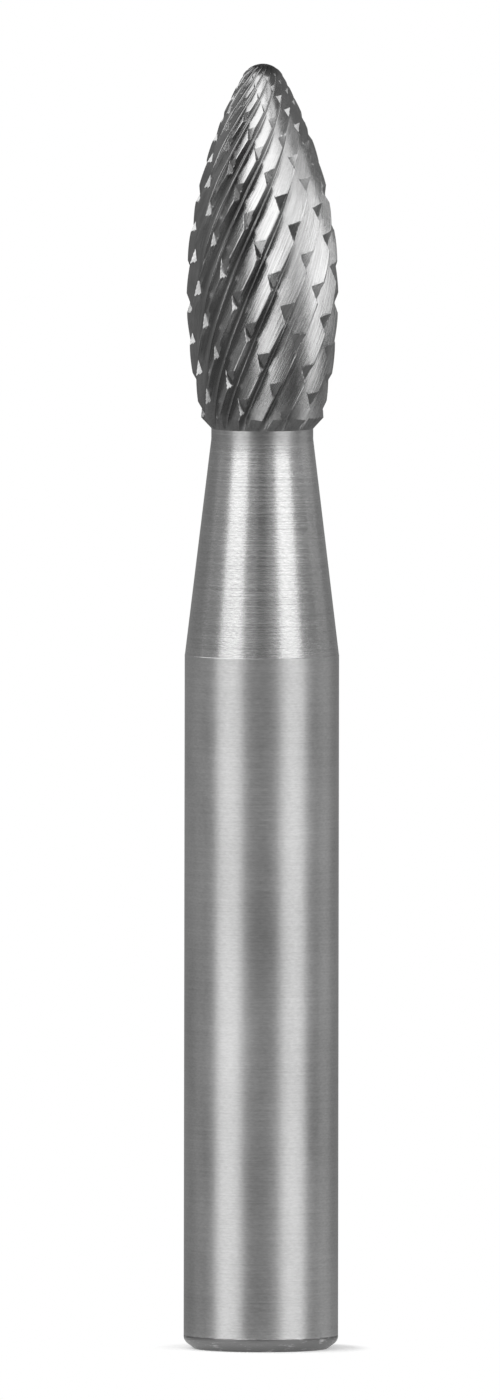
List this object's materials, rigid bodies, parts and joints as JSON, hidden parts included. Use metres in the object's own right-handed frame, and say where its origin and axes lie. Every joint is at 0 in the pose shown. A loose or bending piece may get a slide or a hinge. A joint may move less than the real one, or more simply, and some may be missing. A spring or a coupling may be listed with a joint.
{
  "type": "rotary burr",
  "caption": "Flame-shaped double-cut carbide rotary burr on a plain round steel shank with a tapered neck.",
  "frame": {"origin": "centre of the flat end face of the shank, on the surface that the burr stands on", "axes": "+Z along the tool's axis from the shank's free end to the cutting tip, -Y towards the picture's viewer, +X to the viewer's right"},
  "size_m": [0.006, 0.006, 0.05],
  "materials": {
    "shank_steel": "cylindrically ground steel with fine rings round the axis",
    "head_carbide": "ground tungsten carbide, bright on the tooth backs"
  },
  "bodies": {
    "root": {"shank": "shank_steel", "cutting_head": "head_carbide"}
  },
  "joints": []
}
